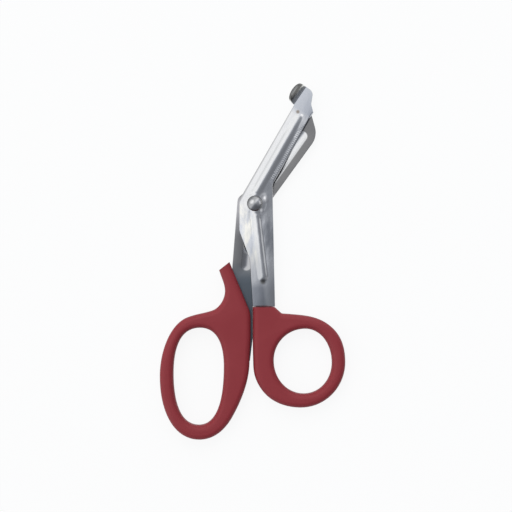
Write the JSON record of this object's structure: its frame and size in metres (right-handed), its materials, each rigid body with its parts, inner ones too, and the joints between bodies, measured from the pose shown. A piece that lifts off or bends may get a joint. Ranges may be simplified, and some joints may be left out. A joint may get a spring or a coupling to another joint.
{
  "type": "utility scissors",
  "caption": "Angled utility scissors with ribbed steel blades, a blunt foot on the serrated lower blade and moulded loop grips.",
  "frame": {"origin": "centre of the flat face of the rivet's tail, on the pivot axis and in the plane that the scissors rest on", "axes": "+Z out of the front face along the pivot axis, +Y towards the blade tips along the shanks, +X to the side that the angled blades lean to"},
  "size_m": [0.0988, 0.1896, 0.0123],
  "materials": {
    "lower_blade_steel": "polished stainless steel",
    "upper_blade_steel": "satin stainless steel",
    "thumb_grip_plastic": "matte red",
    "finger_grip_plastic": "matte red",
    "rivet_steel": "polished stainless steel",
    "washer_steel": "satin stainless steel"
  },
  "bodies": {
    "thumb_side": {"lower_blade": "lower_blade_steel", "thumb_grip": "thumb_grip_plastic", "rivet": "rivet_steel"},
    "finger_side": {"upper_blade": "upper_blade_steel", "finger_grip": "finger_grip_plastic", "washer": "washer_steel"}
  },
  "joints": [
    {"name": "pivot", "type": "hinge", "parent": "thumb_side", "child": "finger_side", "pos_m": [0, 0, 0.0045], "axis": [0, 0, -1], "range_deg": [0, 90]}
  ]
}
